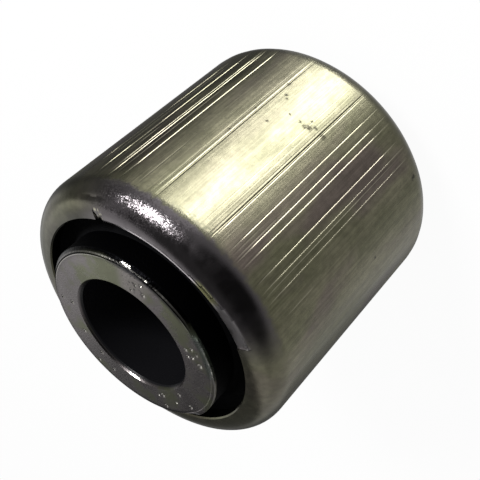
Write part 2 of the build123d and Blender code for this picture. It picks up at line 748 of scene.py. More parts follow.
    def wall_tint(self, on: SurfaceMap, rolled: Amount) -> bpy.types.NodeSocket:
        """Mix the film's colours on the wall and the shoulders.

        Args:
            on: places and patterns on the sleeve.
            rolled: share of the shoulders.

        Returns:
            The colour.
        """
        tint = on.blend(on.pattern(self.film), self.olive, self.straw)
        drift = on.noise(self.drift) + on.sector(self.MAUVE)
        purple = drift.shaped(self.drift) * on.sector(self.STRAW)
        tint = on.blend(purple, tint, self.mauve)
        tint = on.blend(rolled * self.MOSS_SHARE, tint, self.mossy)
        # Painted light beside the band and painted shade in it, multiplied into the film's mottle.
        pale = on.sector(self.PAINTED_LIGHT) * on.height.ramp(*self.PAINTED_LIGHT_FADE)
        shade = on.pattern(self.mottle) * on.sector(self.HIGHLIGHT_SHADE) + pale
        tint = on.blend(1.0, tint, shade, "MULTIPLY")
        tint = on.blend(1.0 - rolled, tint, on.pattern(self.streaks), "MULTIPLY")
        pitted = on.noise(self.pit_areas) * self.PIT_AREA_SHARE + on.noise(self.pitting)
        return on.blend(pitted.shaped(self.pitting).without(rolled), tint, self.mossy)

    def rubbed_tint(self, on: SurfaceMap, tint: bpy.types.NodeSocket) -> bpy.types.NodeSocket:
        """Rub the film off one sector of the upper shoulder and leave a mossy border.

        Args:
            on: places and patterns on the sleeve.
            tint: colour of the film.

        Returns:
            The colour.
        """
        above = on.height - (self.shoulder_height + self.RUBBED_START)
        edge = on.noise(self.RUBBED_EDGE) * self.RAGGEDNESS + above
        tint = on.blend(edge.ramp(*self.RUBBED_FADE) * on.sector(self.RUBBED), tint, self.rubbed)
        border = edge.ramp(*self.BORDER_RISE) * edge.ramp(*self.BORDER_FALL, 1.0, 0.0)
        return on.blend(border * on.sector(self.BORDER) * on.pattern(self.specks), tint, self.mossy)

    def tint(self, on: SurfaceMap, rolled: Amount) -> bpy.types.NodeSocket:
        """Mix all the sleeve's colours.

        Args:
            on: places and patterns on the sleeve.
            rolled: share of the shoulders.

        Returns:
            The colour.
        """
        # Darken the lip towards its edge and paint shade over a lamp's reflection beside it.
        tint = on.traced(self.wall_tint(on, rolled), self.darkened_lip)
        tint = self.rubbed_tint(on, tint)
        tint = on.blend(on.painted("land"), tint, self.burnished)
        # Paint the highlight along the lip's edge, then lay the brassy film on the flat lip.
        tint = on.traced(tint, self.highlit_lip)
        tint = on.blend(on.painted("score") * self.BARE_SHARE, tint, self.bare)
        # Grime in the dirty scores, painted shade in the nick and the crease, and dark stains.
        dirt_and_shade = on.painted("stain_and_shade")
        frayed = on.noise(self.FRAYED) * self.FRAYING
        for spot in self.stains:
            dirt_and_shade = dirt_and_shade.highest(on.patch(spot, frayed))
        return on.blend(dirt_and_shade * self.DIRT_AND_SHADE_SHARE, tint, self.stain_and_shade)

    def normal(self, on: SurfaceMap, rolled: Amount) -> bpy.types.NodeSocket:
        """Make the drawing lines of the wall and the grain and facets of the shoulders.

        Args:
            on: places and patterns on the sleeve.
            rolled: share of the shoulders.

        Returns:
            The bent normal.
        """
        plain = on.painted("land").ramp(0.0, self.PLAIN_BELOW, 1.0, 0.0)
        worked = on.sector(self.WORKED) * on.radius.ramp(*self.WORKED_FROM) * rolled * plain
        facets = on.facets(self.FACET_SIZE, worked.ramp(0.0, 1.0, *self.FACET_TILT))
        drawn = on.bump(on.noise(self.DRAWN_LINES) * (1.0 - rolled), self.DRAWN_DEPTH, facets)
        return on.bump(on.noise(self.GRAIN) * plain, self.GRAIN_DEPTH, drawn)

    def material(self) -> bpy.types.Material:
        """Make the material."""
        material, tree = new_material("passivated_zinc")
        on = SurfaceMap.on(tree)
        rolled = self.rolled(on)
        edge = self.highlit_lip[0]
        # Rougher along the painted highlight of the lip, so that it catches the lamps broadly.
        highlit_lip = on.ring(edge.ring) * on.sector(edge.sector) * self.HIGHLIT_LIP_ROUGHNESS
        smoothness = on.pattern(self.gloss) - rolled * self.ROLLED_GLOSS
        roughness = smoothness + on.painted("land") * self.LAND_ROUGHNESS + highlit_lip
        tint, normal = self.tint(on, rolled), self.normal(on, rolled)
        on.finish({"Base Color": tint, "Metallic": 1.0, "Roughness": roughness, "Normal": normal})
        return material


@dataclass(frozen=True)
class PlatedCutSteel:
    """Thick steel tube sawn to length, faced, deburred and zinc plated, with a thin grey film.

    Args:
        grey: main colour.
        olive: colour of the thicker film.
        painted_face_sheen: colour of a painted lighter reflection on one sector of the face.
        soot_and_shade: colour of dark specks, and of painted shade in the bore and on two sectors of the
            face.
        rim_shade: near-black painted shade on the outside wall, the chamfer and the groove of the rim.
        bright: colour of fresh metal in a nick, and of painted highlights and glints on the rim and in the
            bore.
        green: colour of the thick film on the burr of the rim.
        bore_radius: bore radius in millimetres, where the plating ends and painted shade darkens the bore.
        rim_radius: radius in millimetres where the chamfer of the rim starts.
        face_height: height of the end faces in millimetres.
        film: how the grey and the olive film share the face.
        gloss: roughness of the plate.
        face_light_and_shade: a painted reflection on one sector of the face, and painted shade on two others.
        upper_line: painted highlight along the inner edge of the groove in the rim, which broken_line
            interrupts.
        rim_traces: painted highlight by the groove, painted shade in it and on two stretches of the rim.
        edge_highlight: painted highlight along the burr's outer edge.
        painted_glints: painted glints on the rim and in the bore's mouth, which sparkle breaks up.
        speckled: place on the face that is sprinkled with dark specks.
    """

    grey: str = "#676262"
    olive: str = "#61634f"
    painted_face_sheen: str = "#7d7677"
    soot_and_shade: str = "#111113"
    rim_shade: str = "#050506"
    bright: str = "#c6c3bc"
    green: str = "#3e4a41"
    bore_radius: float = 12.1
    rim_radius: float = 18.0
    face_height: float = 31.5
    film: Pattern = Pattern(6.0, detail=3.0, shift=8.0, low=0.44, high=0.62)
    gloss: Pattern = Pattern(6.0, detail=3.0, shift=8.0, bottom=0.22, top=0.32)
    # A painted lighter reflection on one sector of the face, and painted shade on two others.
    face_light_and_shade: tuple[Trace, ...] = (
        Trace(painted_face_sheen, Sector(-68.0, 10.0, 10.0, inside=0.7)),
        Trace(soot_and_shade, Sector(106.0, 34.0, 24.0, inside=0.2)),
        Trace(soot_and_shade, Sector(8.0, 22.0, 20.0, inside=0.14)),
    )
    # A painted highlight along the groove's inner edge.
    upper_line: Trace = Trace(
        bright, Sector(-45.0, 62.0, 20.0, inside=0.55), ring=Ring(rim_radius - 0.08, 0.08)
    )
    broken_line: Pattern = Pattern(0.35, detail=3.0, shift=33.0, low=0.46, high=0.6)
    rim_traces: tuple[Trace, ...] = (
        # Painted highlight outside the groove, painted shade in it, round the glints and inside the rim.
        Trace(bright, Sector(-45.0, 62.0, 20.0, inside=0.3), ring=Ring(rim_radius + 0.36, 0.1)),
        Trace(rim_shade, Sector(-45.0, 62.0, 20.0), ring=Ring(rim_radius + 0.13, 0.11)),
        Trace(rim_shade, Sector(-68.0, 16.0, 10.0, inside=0.9), ring=Ring(rim_radius + 0.45, 0.5)),
        Trace(rim_shade, Sector(122.0, 46.0, 16.0), ring=Ring(rim_radius - 0.05, 0.22)),
    )
    # A painted highlight along the burr's outer edge.
    edge_highlight: Trace = Trace(
        bright, Sector(-147.0, 20.0, 16.0, inside=0.6), ring=Ring(rim_radius + 0.95, 0.1)
    )
    # Painted glints where the high lamp catches the rim and the bore's mouth.
    painted_glints: tuple[Trace, ...] = (
        Trace(bright, Sector(-62.0, 3.0, 6.0), ring=Ring(rim_radius + 0.6, 0.2)),
        Trace(bright, Sector(-76.0, 0.8, 1.2), ring=Ring(rim_radius + 0.4, 0.16)),
        Trace(bright, Sector(118.0, 7.0, 6.0), ring=Ring(bore_radius + 0.42, 0.13)),
    )
    sparkle: Pattern = Pattern(0.3, detail=4.0, shift=16.0)
    speckled: Patch = Patch(-69.0, 31.5, 2.2, radius=15.8)

    # Angles are in degrees. Sizes and borders are in millimetres, and a border is measured from its radius.
    OLIVE = Sector(-38.0, 26.0, 40.0, -0.06, 0.12)
    OLIVE_BY_BURR = Sector(-104.0, 10.0, 16.0, inside=0.12)
    BORE_PLATE = (0.1, 0.4)
    BORE_SHADE = (0.15, 0.5)
    SPECK_SPACING = 0.8
    SPECK_SIZE = 0.3
    SPECK_SHARE = 0.75
    NICK_SHARE = 0.95
    BURR = Sector(-127.0, 15.0, 12.0, inside=0.75)
    BURR_FROM = (-0.8, 0.0)
    BROKEN = Sector(-66.0, 18.0, 10.0, 1.0, 0.0)
    WALL_FROM = (0.8, 0.95)
    WALL_BELOW = (0.3, 0.55)
    # Where the painted shade of the rim and the outside wall lies.
    UNSHADED_BURR = Sector(-151.0, 46.0, 14.0, inside=0.6)
    SHADED_STRETCH = Sector(-80.0, 26.0, 18.0, inside=0.55)
    SHADE_DEPTHS = (-0.25, 0.95)
    SHADE_RAGGEDNESS = 0.4
    SHADE_FROM = (-1.0, 0.0)
    RAGGED = Pattern(0.8, detail=3.0, shift=2.0)
    SPARKLE_GAIN = 1.9
    SPARKLE_LEVELS = (1.8, 1.9)
    CHAMFER_FROM = (0.1, 0.3)
    HAMMERED = Sector(-68.0, 10.0, 6.0, 0.3)
    DENTS = Pattern(0.45, shift=6.0)
    DENT_DEPTH = 0.2
    # The facing cut is finer than 0.1 mm and is drawn coarse enough to show.
    GRAIN = Pattern(0.35, detail=3.0)
    GRAIN_DEPTH = 0.025
    MATT_FROM = (0.85, 0.97)
    MATT_BELOW = (0.35, 0.6)
    MATT_ROUGHNESS = 0.5
    SPECULAR = 0.1

    def past(self, on: SurfaceMap, radius: float, border: tuple[float, float]) -> Amount:
        """Return 0 inside a radius and 1 past it, with a border in millimetres measured from it."""
        return on.radius.ramp(radius + border[0], radius + border[1])

    def sunk(self, on: SurfaceMap) -> Amount:
        """Return the distance below the nearer end face in millimetres."""
        return self.face_height - abs(on.height)

    def face_tint(self, on: SurfaceMap, ragged: Amount) -> bpy.types.NodeSocket:
        """Mix the colours of the face and the bore.

        Args:
            on: places and patterns on the sleeve.
            ragged: noise that makes the borders uneven.

        Returns:
            The colour.
        """
        film = on.noise(self.film) + on.sector(self.OLIVE) + on.sector(self.OLIVE_BY_BURR)
        # The film, under the painted reflection and shade of the face.
        tint = on.traced(on.blend(film.shaped(self.film), self.grey, self.olive), self.face_light_and_shade)
        # Painted shade inside the bore.
        tint = on.blend(1.0 - self.past(on, self.bore_radius, self.BORE_SHADE), tint, self.soot_and_shade)
        specks = on.specks(self.SPECK_SPACING, self.SPECK_SIZE) * on.patch(self.speckled, ragged)
        tint = on.blend(specks * self.SPECK_SHARE, tint, self.soot_and_shade)
        # Fresh metal in the nicks, painted bright also to stand for their glints.
        return on.blend(on.painted("nicked") * self.NICK_SHARE, tint, self.bright)

    def rim_tint(self, on: SurfaceMap, ragged: Amount, tint: bpy.types.NodeSocket) -> bpy.types.NodeSocket:
        """Lay the colours of the rim and the outside wall over the face's.

        Args:
            on: places and patterns on the sleeve.
            ragged: noise that makes the borders uneven.
            tint: colour of the face.

        Returns:
            The colour.
        """
        burr = on.sector(self.BURR) * self.past(on, self.rim_radius, self.BURR_FROM)
        tint = on.blend(burr, tint, self.green)
        # The painted highlight along the groove, broken up near the glints.
        unbroken = on.pattern(self.broken_line).highest(on.sector(self.BROKEN))
        tint = on.blend(on.trace(self.upper_line) * unbroken, tint, self.bright)
        sunk = self.sunk(on)
        # Painted shade on the outside wall and the chamfer, deeper on one stretch and lighter on the burr.
        wall = self.past(on, self.rim_radius, self.WALL_FROM) * sunk.ramp(*self.WALL_BELOW)
        depth = sunk - on.sector(self.UNSHADED_BURR)
        depth = depth + on.sector(self.SHADED_STRETCH) + ragged * self.SHADE_RAGGEDNESS
        shaded_rim = depth.ramp(*self.SHADE_DEPTHS) * self.past(on, self.rim_radius, self.SHADE_FROM)
        tint = on.blend(wall, on.blend(shaded_rim, tint, self.rim_shade), self.rim_shade)
        tint = on.traced(tint, self.rim_traces)
        # A painted highlight along the burr's outer edge, off the wall.
        return on.blend(on.trace(self.edge_highlight).without(wall), tint, self.bright)

    def tint(self, on: SurfaceMap) -> bpy.types.NodeSocket:
        """Mix all the sleeve's colours."""
        ragged = on.noise(self.RAGGED)
        tint = self.rim_tint(on, ragged, self.face_tint(on, ragged))
        # Painted glints on the rim and in the bore's mouth, broken up by noise.
        glint_share = on.trace(self.painted_glints[0])
        for spark in self.painted_glints[1:]:
            glint_share = glint_share.highest(on.trace(spark))
        glint_share = on.noise(self.sparkle) * self.SPARKLE_GAIN + glint_share
        return on.blend(glint_share.ramp(*self.SPARKLE_LEVELS), tint, self.bright)

    def normal(self, on: SurfaceMap) -> bpy.types.NodeSocket:
        """Make the fine grain of the plate and the dents of the hammered chamfer."""
        chamfer = self.past(on, self.rim_radius, self.CHAMFER_FROM)
        hammered = chamfer * on.sector(self.HAMMERED)
        dented = on.bump(on.noise(self.DENTS) * hammered, self.DENT_DEPTH)
        return on.bump(on.noise(self.GRAIN), self.GRAIN_DEPTH, dented)

    def material(self) -> bpy.types.Material:
        """Make the material."""
        material, tree = new_material("plated_cut_steel")
        on = SurfaceMap.on(tree)
        matt = self.past(on, self.rim_radius, self.MATT_FROM) * self.sunk(on).ramp(*self.MATT_BELOW)
        on.finish(
            {
                "Base Color": self.tint(on),
                "Metallic": self.past(on, self.bore_radius, self.BORE_PLATE),
                "Roughness": on.pattern(self.gloss) + matt * self.MATT_ROUGHNESS,
                "Specular IOR Level": self.SPECULAR,
                "Normal": self.normal(on),
            }
        )
        return material


@dataclass(frozen=True)
class MouldedRubber:
    """Natural rubber filled with carbon black, moulded and left matt.

    Args:
        black: main colour.
        pale: colour of the faint grey bloom on its surface.
        bloom: how the bloom spreads.
        roughness: roughness of the plain and of the bloomed rubber.
        ior: the usual index of refraction of natural rubber.
        specular: how much the surface shines, which is little where dust lies in it.
        grain: texture of the mould, drawn coarser than its real 0.1 mm so that it shows.
        grain_depth: depth of that texture in millimetres.
    """

    black: str = "#070708"
    pale: str = "#0c0c0e"
    bloom: Pattern = Pattern(2.5, detail=3.0, low=0.45, high=0.7)
    roughness: tuple[float, float] = (0.85, 0.95)
    ior: float = 1.52
    specular: float = 0.05
    grain: Pattern = Pattern(0.4, detail=3.0)
    grain_depth: float = 0.03

    def material(self) -> bpy.types.Material:
        """Make the material."""
        material, tree = new_material("moulded_rubber")
        on = SurfaceMap.on(tree)
        bloom = on.pattern(self.bloom)
        on.finish(
            {
                "Base Color": on.blend(bloom, self.black, self.pale),
                "Roughness": bloom.ramp(0.0, 1.0, *self.roughness),
                "IOR": self.ior,
                "Specular IOR Level": self.specular,
                "Normal": on.bump(on.noise(self.grain), self.grain_depth),
            }
        )
        return material


# --- Marks ------------------------------------------------------------------------------------


@dataclass(frozen=True)
class Score:
    """One score mark that a press tool has torn along the outer sleeve.

    Args:
        angle: place round the axis in degrees.
        start: distance of its upper end below the upper end face, in millimetres.
        stop: distance of its lower end below the upper end face, in millimetres.
        depth: depth of the groove in millimetres.
        dirty: whether grime fills it instead of bare zinc.
    """

    angle: float
    start: float
    stop: float
    depth: float
    dirty: bool = False

    GROOVE = 0.12
    FADE = 2.6
    STEADY = 0.9
    UNEVEN = 0.3
    WAVE = 9.0

    def depth_at(self, spot: Spot, below: float) -> float:
        """Return the mark's depth at a spot.

        Args:
            spot: spot of the sleeve.
            below: the spot's distance below the upper end face, in millimetres.

        Returns:
            The depth in millimetres.
        """
        inside = min(below - self.start, self.stop - below)
        if abs(spot.angle_to(self.angle)) > self.GROOVE or inside < 0:
            return 0.0
        steadiness = self.STEADY + self.UNEVEN * noise.noise(Vector((below / self.WAVE, self.angle, 0)))
        return self.depth * min(1.0, inside / self.FADE) * steadiness


@dataclass(frozen=True)
class Pit:
    """One small tool nick in an end face.

    Args:
        angle: place round the axis in degrees.
        radius: distance from the axis in millimetres.
        size: radius of the pit in millimetres.
        depth: depth of the pit in millimetres.
    """

    angle: float
    radius: float
    size: float = 0.3
    depth: float = 0.45

    SPREAD = 1.2

    def depth_at(self, spot: Spot) -> float:
        """Return the pit's depth at a spot in millimetres."""
        apart = around(spot.angle) * (spot.radius / MM) - around(self.angle) * self.radius
        return self.depth * max(0.0, 1.0 - apart.length / (self.size * self.SPREAD))


# --- Pieces -----------------------------------------------------------------------------------


@dataclass
class OuterSleeve:
    """Drawn steel tube whose two ends are rolled inwards over the rubber.

    Args:
        outer_radius: outside radius in metres.
        lip_height: height of the rolled lips in metres.
        face_height: height of the inner sleeve's end face, which the marks are measured from.
        wall: thickness of the tube.
        roll_inner_radius: inside radius of the rolled corner.
        lip_land: width of the flat ring on the lip.
        lip_round: rounding of the lip's edge.
        segments: straight parts round the axis.
        scores: marks that a press tool has torn along the sleeve.
        finish: surface of the sleeve.
    """

    outer_radius: float
    lip_height: float
    face_height: float
    wall: float = 2.5 * MM
    roll_inner_radius: float = 2.8 * MM
    lip_land: float = 0.6 * MM
    lip_round: float = 0.25 * MM
    segments: int = 1500
    scores: tuple[Score, ...] = (
        Score(-15.6, 18.0, 46.0, 0.12),
        Score(-20.4, 14.0, 50.0, 0.08),
        Score(-23.4, 11.0, 52.0, 0.14),
        Score(-26.4, 9.8, 53.0, 0.20),
        Score(-29.2, 10.2, 50.0, 0.10),
        Score(-33.2, 9.0, 54.0, 0.20),
        Score(-35.6, 11.0, 40.0, 0.08),
        Score(-38.9, 8.8, 54.0, 0.17),
        Score(-40.3, 8.6, 55.0, 0.20),
        Score(-42.6, 10.2, 40.0, 0.07),
        Score(-45.9, 8.8, 55.2, 0.14),
        Score(-53.6, 9.5, 22.0, 0.06),
        Score(-59.9, 8.4, 55.5, 0.05),
        Score(-60.7, 8.4, 55.0, 0.03, dirty=True),
        Score(-62.0, 8.2, 55.0, 0.10),
        Score(-62.7, 8.2, 55.0, 0.11, dirty=True),
        Score(-80.4, 9.0, 54.0, 0.03),
        Score(-82.6, 9.0, 54.0, 0.02),
        Score(-84.5, 9.0, 54.0, 0.04),
        Score(-85.4, 8.2, 55.5, 0.15, dirty=True),
        Score(-86.1, 8.5, 54.6, 0.10),
        Score(-89.0, 9.5, 15.0, 0.06),
        Score(-92.8, 8.6, 55.8, 0.09),
        Score(-94.6, 9.6, 17.5, 0.06),
        Score(-96.1, 9.4, 21.0, 0.08),
        Score(-97.0, 8.4, 55.5, 0.10),
        Score(-99.8, 9.2, 55.0, 0.11),
        Score(-106.2, 9.0, 44.0, 0.12),
        Score(-107.1, 9.0, 54.0, 0.13),
        Score(-110.7, 8.8, 54.8, 0.12),
        Score(-112.4, 9.0, 50.0, 0.08),
        Score(-115.0, 9.6, 54.0, 0.14),
        Score(-123.2, 11.4, 18.5, 0.15),
    )
    finish: PassivatedZinc = field(default_factory=PassivatedZinc)

    WALL_PARTS = 16
    ROLL_PARTS = 20
    LOWER_ROLL_PARTS = 8
    INSIDE_PARTS = 4
    SHARP = 40.0
    # The grooves are cut to this share of the depths in the table, which the paint reads in full.
    SCORE_SHARE = 0.62
    BARE_DEPTH = 0.09
    FLECK_SIZE = 0.3 * MM
    FLECK_SEED = 5.0
    FLECK_LEVEL = 0.22
    # Shares of painted shade in the nick and under the crease.
    NICK_SHADE = 0.6
    CREASE_SHADE = 0.4
    NICK_ANGLE = -41.0
    NICK_HALF_WIDTH = 2.4
    NICK_END = 24.9 * MM
    NICK_DEPTH = 0.35 * MM
    # Even and torn part of the nick's depth.
    NICK_LEVELS = (0.8, 0.5)
    TEAR_SIZE = 0.6 * MM
    TEAR_SEED = 3.0
    LAND_START = -43.5
    LAND_WIDENING = -86.0
    LAND_STOP = -127.0
    LAND_DEPTHS = (0.04 * MM, 0.42 * MM)
    LAND_REACHES = (22.95 * MM, 25.8 * MM)
    LAND_SHINE = 1.6
    CREASE_START = -31.0
    CREASE_STOP = -46.0
    CREASE_RADIUS = 26.7 * MM
    CREASE_WIDTH = 0.4 * MM
    CREASE_DEPTH = 0.28 * MM

    @property
    def shoulder_height(self) -> float:
        """Height where the straight wall ends and the rolled shoulder starts."""
        return self.lip_height - self.wall - self.roll_inner_radius

    @property
    def roll_centre(self) -> Corner:
        """Centre of the upper rolled corner."""
        return Corner(self.outer_radius - self.wall - self.roll_inner_radius, self.shoulder_height)

    @property
    def lip_radius(self) -> float:
        """Radius of the lip's inner edge."""
        return self.roll_centre.radius - self.lip_land

    def section(self) -> list[Corner]:
        """Return the closed section, from the middle of the outside wall round to the inside wall."""
        centre, lip_radius = self.roll_centre, self.lip_radius
        shoulder = Corner(self.outer_radius, self.shoulder_height)
        wall = straight_corners(shoulder.mirrored(), shoulder, self.WALL_PARTS)
        roll_radius = self.roll_inner_radius + self.wall
        rolled = arc_corners(centre, roll_radius, 0, 90, self.ROLL_PARTS)
        lip = [
            Corner(lip_radius + self.lip_round, self.lip_height),
            Corner(lip_radius, self.lip_height - self.lip_round),
            Corner(lip_radius, self.lip_height - self.wall),
        ]
        inside = arc_corners(centre, self.roll_inner_radius, 90, 0, self.INSIDE_PARTS)
        coarse = arc_corners(centre, roll_radius, 0, 90, self.LOWER_ROLL_PARTS)
        lower = [corner.mirrored() for corner in reversed([*coarse, *lip, *inside])]
        return [*wall, *rolled, *lip, *inside, *lower]

    def deepest_at(self, spot: Spot, scores: Iterable[Score]) -> float:
        """Return the depth of the deepest of some score marks at a spot, in millimetres."""
        if spot.radius < self.outer_radius - self.wall / 2 or abs(spot.height) > self.shoulder_height + MM:
            return 0.0
        below = (self.face_height - spot.height) / MM
        return max((score.depth_at(spot, below) for score in scores), default=0.0)

    def score_at(self, spot: Spot) -> float:
        """Return the depth of the score marks at a spot, in metres."""
        return self.SCORE_SHARE * self.deepest_at(spot, self.scores) * MM

    def bare_at(self, spot: Spot) -> float:
        """Return how bare a mark has rubbed the zinc at a spot."""
        torn = self.nick_at(spot) > 0 and spot.unevenness(self.FLECK_SIZE, self.FLECK_SEED) > self.FLECK_LEVEL
        clean = self.deepest_at(spot, (score for score in self.scores if not score.dirty))
        return max(float(torn), clean / self.BARE_DEPTH)

    def dirt_and_shade_at(self, spot: Spot) -> float:
        """Return the grime in the dirty scores and the painted shade in the nick and the crease at a spot."""
        nick = self.nick_at(spot) / self.NICK_DEPTH * self.NICK_SHADE
        crease = self.crease_at(spot) / self.CREASE_DEPTH * self.CREASE_SHADE
        dirty = self.deepest_at(spot, (score for score in self.scores if score.dirty))
        return max(dirty / self.BARE_DEPTH, nick, crease)

    def nick_at(self, spot: Spot) -> float:
        """Return the depth of the nick in the upper lip at a spot, in metres."""
        across = abs(spot.angle_to(self.NICK_ANGLE))
        if across > self.NICK_HALF_WIDTH or spot.radius > self.NICK_END or spot.height < self.lip_height - MM:
            return 0.0
        share = (self.NICK_END - spot.radius) / (self.NICK_END - self.outer_radius + self.wall * 2)
        even, torn = self.NICK_LEVELS
        tear = even + torn * spot.unevenness(self.TEAR_SIZE, self.TEAR_SEED)
        return self.NICK_DEPTH * min(1.0, share) * tear

    def land_at(self, spot: Spot) -> float:
        """Return how far the upper lip is flattened at a spot, in metres."""
        if spot.angle_to(self.LAND_START) < 0.0 or spot.angle_to(self.LAND_STOP) > 0.0:
            return 0.0
        share = max(0.0, spot.angle_to(self.LAND_WIDENING) / (self.LAND_WIDENING - self.LAND_STOP))
        near, far = self.LAND_REACHES
        if spot.radius > near + (far - near) * share or spot.height < self.lip_height - MM:
            return 0.0
        narrow, wide = self.LAND_DEPTHS
        return max(0.0, spot.height - self.lip_height + narrow + (wide - narrow) * share)

    def crease_at(self, spot: Spot) -> float:
        """Return the depth of the crease across the upper shoulder at a spot, in metres."""
        share = spot.angle_to(self.CREASE_START) / (self.CREASE_START - self.CREASE_STOP)
        aside = abs(spot.radius - self.CREASE_RADIUS) / self.CREASE_WIDTH
        if spot.height < self.shoulder_height or not 0.0 < share < 1.0 or aside > 1.0:
            return 0.0
        return self.CREASE_DEPTH * (1.0 - aside) * math.sin(math.pi * share)

    def build(self) -> bpy.types.Object:
        """Model the sleeve."""
        sleeve = turned_ring("rolled_outer_sleeve", self.section(), self.segments)
        paint_points(sleeve, "score", self.bare_at)
        # The dark paint holds grime in the dirty scores and painted shade in the nick and the crease.
        paint_points(sleeve, "stain_and_shade", self.dirt_and_shade_at)
        paint_points(sleeve, "land", lambda spot: self.LAND_SHINE * self.land_at(spot) / self.LAND_DEPTHS[0])
        push_points(sleeve, Push.INTO_SURFACE, self.score_at)
        push_points(sleeve, Push.INTO_SURFACE, self.crease_at)
        push_points(sleeve, Push.DOWN_THE_AXIS, self.land_at)
        push_points(sleeve, Push.DOWN_THE_AXIS, self.nick_at)
        smooth_by_angle(sleeve, self.SHARP)
        return sleeve

    def dress(self, sleeve: bpy.types.Object) -> None:
        """Give the sleeve its finish and its place in the bush."""
        fasten(sleeve, "outer_sleeve", self.finish.material())


@dataclass
class InnerSleeve:
    """Thick steel tube that the bolt clamps, faced and chamfered at both ends.

    Args:
        outer_radius: outside radius in metres.
        half_length: height of the upper end face in metres.
        bore_radius: radius of the bore.
        bore_chamfer: width of the chamfer in the mouth of the bore.
        bore_chamfer_depth: depth of the same chamfer along the bore.
        rim_chamfer: chamfer on the outside rim.
        rim_groove: size of the fine groove that the facing tool leaves in the rim.
        burr_reach: how far the burr of the rim reaches down the outside wall.
        segments: straight parts round the axis.
        face_rings: number of parts of the upper face from the rim to the bore.
        pits: tool nicks in the upper face.
        finish: surface of the sleeve.
    """

    outer_radius: float
    half_length: float
    bore_radius: float = 12.1 * MM
    bore_chamfer: float = 0.55 * MM
    bore_chamfer_depth: float = 0.75 * MM
    rim_chamfer: float = 1.0 * MM
    rim_groove: float = 0.11 * MM
    burr_reach: float = 0.4 * MM
    segments: int = 900
    face_rings: int = 40
    pits: tuple[Pit, ...] = (
        Pit(-125.1, 14.2, 0.34),
        Pit(-131.2, 14.1),
        Pit(-131.2, 15.2),
        Pit(-136.6, 16.3, 0.45),
        Pit(-123.7, 15.8),
        Pit(-128.0, 16.4, 0.25),
        Pit(147.9, 14.2, 0.4),
        Pit(142.8, 14.5, 0.25),
        Pit(169.7, 14.0, 0.35),
        Pit(159.2, 15.7, 0.25),
        Pit(145.5, 17.0, 0.35),
        Pit(171.6, 17.0, 0.4),
        Pit(83.6, 14.0, 0.35),
        Pit(86.9, 17.1, 0.3),
        Pit(98.6, 15.6, 0.3),
        Pit(32.7, 16.7, 0.3),
        Pit(32.9, 14.3, 0.4),
        Pit(61.8, 14.4, 0.35),
        Pit(-67.0, 13.7, 0.25),
        Pit(-70.0, 15.6, 0.3),
        Pit(-74.0, 16.4, 0.25),
        Pit(-77.4, 14.5, 0.35),
    )
    finish: PlatedCutSteel = field(default_factory=PlatedCutSteel)

    WALL_PARTS = 8
    CHAMFER_PARTS = 6
    THROAT_PARTS = 3
    BORE_PARTS = 6
    LOWER_FACE_RINGS = 8
    SHARP = 30.0
    # Places on the chamfer, in sizes of the fine groove.
    GROOVE_SINK = 1.6
    RIDGE_PLACE = 2.2
    RIDGE_SINK = 0.7
    NICKED_DEPTH = 0.15 * MM
    FLUSH_START = -104.0
    FLUSH_STOP = -198.0
    FLUSH_FADE = 12.0
    FLUSH_DROP = 0.06
    SWOLLEN_START = -111.0
    SWOLLEN_STOP = -150.0
    SWOLLEN_WIDTH = 0.6 * MM
    SWOLLEN_HEIGHT = 0.28 * MM
    SWOLLEN_UNEVEN = 0.5
    LUMP_SIZE = 1.0 * MM
    LUMP_SEED = 9.0

    def section(self) -> list[Corner]:
        """Return the closed section, from the middle of the outside wall round to the bore."""
        rim = Corner(self.outer_radius - self.rim_chamfer, self.half_length)
        mouth = Corner(self.bore_radius + self.bore_chamfer, self.half_length)
        edge = Corner(self.outer_radius, self.half_length - self.rim_chamfer)
        bore_edge = Corner(self.bore_radius, self.half_length - self.bore_chamfer_depth)
        outside = [*straight_corners(edge.mirrored(), edge, self.WALL_PARTS), edge.moved(0, -self.burr_reach)]
        groove = rim.moved(self.rim_groove, -self.GROOVE_SINK * self.rim_groove)
        ridge = rim.moved(self.RIDGE_PLACE * self.rim_groove, -self.RIDGE_SINK * self.rim_groove)
        chamfer = [edge, *straight_corners(edge, ridge, self.CHAMFER_PARTS), ridge, groove, rim]
        throat = [mouth, *straight_corners(mouth, bore_edge, self.THROAT_PARTS), bore_edge]
        bore = straight_corners(bore_edge, bore_edge.mirrored(), self.BORE_PARTS)
        upper = [*chamfer, *straight_corners(rim, mouth, self.face_rings), *throat]
        coarse = [*chamfer, *straight_corners(rim, mouth, self.LOWER_FACE_RINGS), *throat]
        lower = [corner.mirrored() for corner in reversed(coarse)]
        return [*outside, *upper, *bore, *lower]

    def pit_at(self, spot: Spot) -> float:
        """Return the depth of the pits in the upper face at a spot, in metres."""
        if spot.height < self.half_length - HAIR:
            return 0.0
        return max(pit.depth_at(spot) for pit in self.pits) * MM

    def flush_at(self, spot: Spot) -> float:
        """Return how far the upper chamfer is left uncut at a spot, in metres and below zero."""
        out = (spot.radius - self.outer_radius + self.rim_chamfer) / self.rim_chamfer
        if out < 0.0 or spot.height < self.half_length - self.rim_chamfer - HAIR:
            return 0.0
        turn = min(spot.angle_to(self.FLUSH_START), -spot.angle_to(self.FLUSH_STOP)) / self.FLUSH_FADE
        surface = self.half_length - self.FLUSH_DROP * self.rim_chamfer * out ** 2
        return -min(max(turn, 0.0), 1.0) * max(0.0, surface - spot.height)

